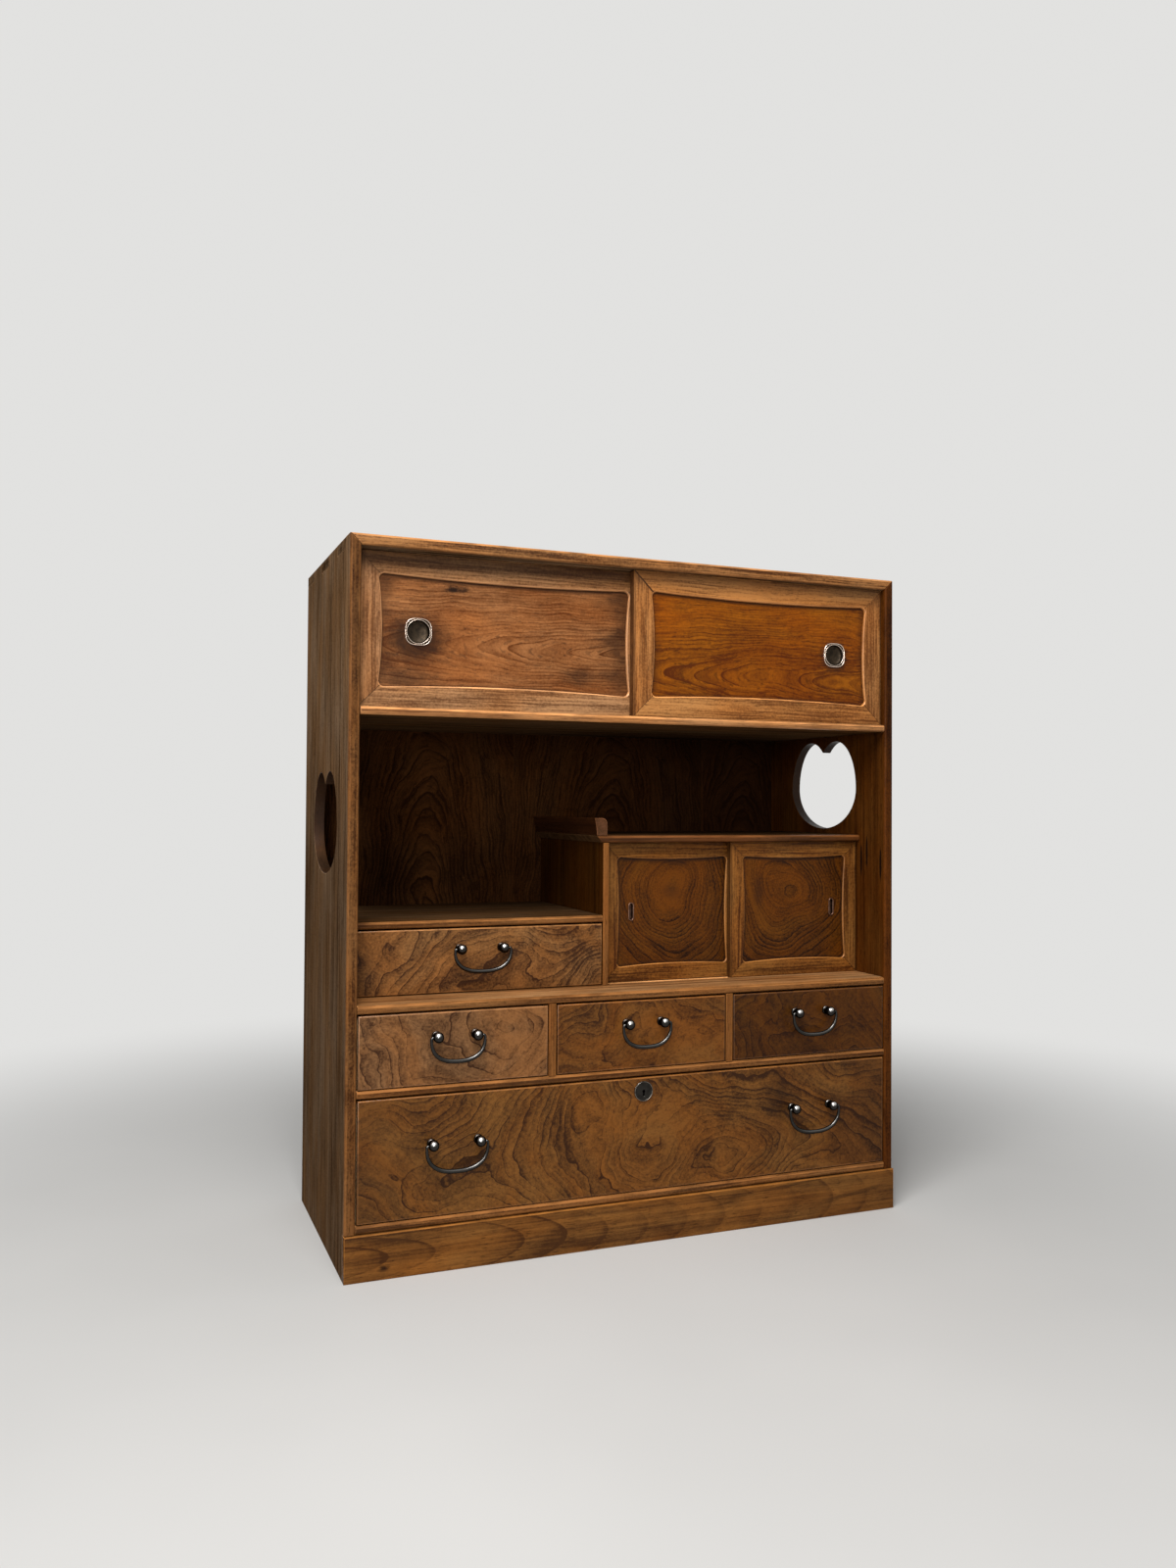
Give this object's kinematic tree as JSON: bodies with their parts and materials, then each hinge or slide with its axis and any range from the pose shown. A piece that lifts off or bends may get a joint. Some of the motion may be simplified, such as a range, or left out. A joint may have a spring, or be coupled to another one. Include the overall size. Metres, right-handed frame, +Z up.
{
  "type": "tea cabinet",
  "caption": "Japanese wooden tea cabinet with a stepped open niche, heart-pierced sides, framed sliding doors, drawers with swinging bail handles and a drawer lock.",
  "frame": {"origin": "on the floor, under the middle of the whole box with the bail handles included", "axes": "+Z up, -Y out of the cabinet's front, +X to the right of someone who faces the front"},
  "size_m": [0.783, 0.344, 0.9],
  "materials": {
    "case_wood": "rubbed lacquer, satin",
    "shelf_wood": "rubbed lacquer, satin",
    "back_wood": "dark stain, matt",
    "frame_wood": "satin",
    "panel_wood": "satin",
    "burl_wood": "satin",
    "drawer_wood": "bare",
    "black_bronze": "dark patina, glossy",
    "copper": "polished rim, dark bowl",
    "iron": "dark patina"
  },
  "bodies": {
    "case": {"left_side_panel": "case_wood", "right_side_panel": "case_wood", "top_board": "case_wood", "plinth": "case_wood", "back_panel": "back_wood", "upper_shelf": "shelf_wood", "mid_shelf": "shelf_wood", "lower_shelf": "shelf_wood", "bottom_board": "shelf_wood", "left_shelf": "shelf_wood", "cupboard_wall": "shelf_wood", "cupboard_top": "shelf_wood", "brush_return": "shelf_wood", "drawer_divider_left": "shelf_wood", "drawer_divider_right": "shelf_wood"},
    "top_left_door": {"top_left_door_frame": "frame_wood", "top_left_door_panel": "panel_wood", "top_left_door_pull": "copper"},
    "top_right_door": {"top_right_door_frame": "frame_wood", "top_right_door_panel": "panel_wood", "top_right_door_pull": "copper"},
    "small_left_door": {"small_left_door_frame": "frame_wood", "small_left_door_panel": "burl_wood", "small_left_door_pull": "copper"},
    "small_right_door": {"small_right_door_frame": "frame_wood", "small_right_door_panel": "burl_wood", "small_right_door_pull": "copper"},
    "upper_drawer": {"upper_drawer_front": "burl_wood", "upper_drawer_left_side": "drawer_wood", "upper_drawer_right_side": "drawer_wood", "upper_drawer_back": "drawer_wood", "upper_drawer_bottom": "drawer_wood"},
    "left_drawer": {"left_drawer_front": "burl_wood", "left_drawer_left_side": "drawer_wood", "left_drawer_right_side": "drawer_wood", "left_drawer_back": "drawer_wood", "left_drawer_bottom": "drawer_wood"},
    "middle_drawer": {"middle_drawer_front": "burl_wood", "middle_drawer_left_side": "drawer_wood", "middle_drawer_right_side": "drawer_wood", "middle_drawer_back": "drawer_wood", "middle_drawer_bottom": "drawer_wood"},
    "right_drawer": {"right_drawer_front": "burl_wood", "right_drawer_left_side": "drawer_wood", "right_drawer_right_side": "drawer_wood", "right_drawer_back": "drawer_wood", "right_drawer_bottom": "drawer_wood"},
    "bottom_drawer": {"bottom_drawer_front": "burl_wood", "bottom_drawer_left_side": "drawer_wood", "bottom_drawer_right_side": "drawer_wood", "bottom_drawer_back": "drawer_wood", "bottom_drawer_bottom": "drawer_wood", "drawer_lock": "iron"},
    "upper_bail": {"upper_bail": "black_bronze"},
    "left_bail": {"left_bail": "black_bronze"},
    "middle_bail": {"middle_bail": "black_bronze"},
    "right_bail": {"right_bail": "black_bronze"},
    "bottom_left_bail": {"bottom_left_bail": "black_bronze"},
    "bottom_right_bail": {"bottom_right_bail": "black_bronze"},
    "lock_bolt": {"lock_bolt": "iron"}
  },
  "joints": [
    {"name": "top_left_door_slide", "type": "slide", "parent": "case", "child": "top_left_door", "axis": [1, 0, 0], "range_m": [0, 0.36]},
    {"name": "top_right_door_slide", "type": "slide", "parent": "case", "child": "top_right_door", "axis": [-1, 0, 0], "range_m": [0, 0.36]},
    {"name": "small_left_door_slide", "type": "slide", "parent": "case", "child": "small_left_door", "axis": [1, 0, 0], "range_m": [0, 0.19]},
    {"name": "small_right_door_slide", "type": "slide", "parent": "case", "child": "small_right_door", "axis": [-1, 0, 0], "range_m": [0, 0.19]},
    {"name": "upper_drawer_slide", "type": "slide", "parent": "case", "child": "upper_drawer", "axis": [0, -1, 0], "range_m": [0, 0.16]},
    {"name": "left_drawer_slide", "type": "slide", "parent": "case", "child": "left_drawer", "axis": [0, -1, 0], "range_m": [0, 0.22]},
    {"name": "middle_drawer_slide", "type": "slide", "parent": "case", "child": "middle_drawer", "axis": [0, -1, 0], "range_m": [0, 0.22]},
    {"name": "right_drawer_slide", "type": "slide", "parent": "case", "child": "right_drawer", "axis": [0, -1, 0], "range_m": [0, 0.22]},
    {"name": "bottom_drawer_slide", "type": "slide", "parent": "case", "child": "bottom_drawer", "axis": [0, -1, 0], "range_m": [0, 0.22]},
    {"name": "upper_bail_swing", "type": "hinge", "parent": "upper_drawer", "child": "upper_bail", "pos_m": [-0.20535, -0.10345, 0.3864], "axis": [-1, 0, 0], "range_deg": [-15, 195]},
    {"name": "left_bail_swing", "type": "hinge", "parent": "left_drawer", "child": "left_bail", "pos_m": [-0.255, -0.16545, 0.28765], "axis": [-1, 0, 0], "range_deg": [-15, 195]},
    {"name": "middle_bail_swing", "type": "hinge", "parent": "middle_drawer", "child": "middle_bail", "pos_m": [0, -0.16545, 0.28765], "axis": [-1, 0, 0], "range_deg": [-15, 195]},
    {"name": "right_bail_swing", "type": "hinge", "parent": "right_drawer", "child": "right_bail", "pos_m": [0.255, -0.16545, 0.28765], "axis": [-1, 0, 0], "range_deg": [-15, 195]},
    {"name": "bottom_left_bail_swing", "type": "hinge", "parent": "bottom_drawer", "child": "bottom_left_bail", "pos_m": [-0.255, -0.16545, 0.15665], "axis": [-1, 0, 0], "range_deg": [-15, 195]},
    {"name": "bottom_right_bail_swing", "type": "hinge", "parent": "bottom_drawer", "child": "bottom_right_bail", "pos_m": [0.255, -0.16545, 0.15665], "axis": [-1, 0, 0], "range_deg": [-15, 195]},
    {"name": "lock_bolt_slide", "type": "slide", "parent": "bottom_drawer", "child": "lock_bolt", "axis": [0, 0, 1], "range_m": [0, 0.006]}
  ]
}
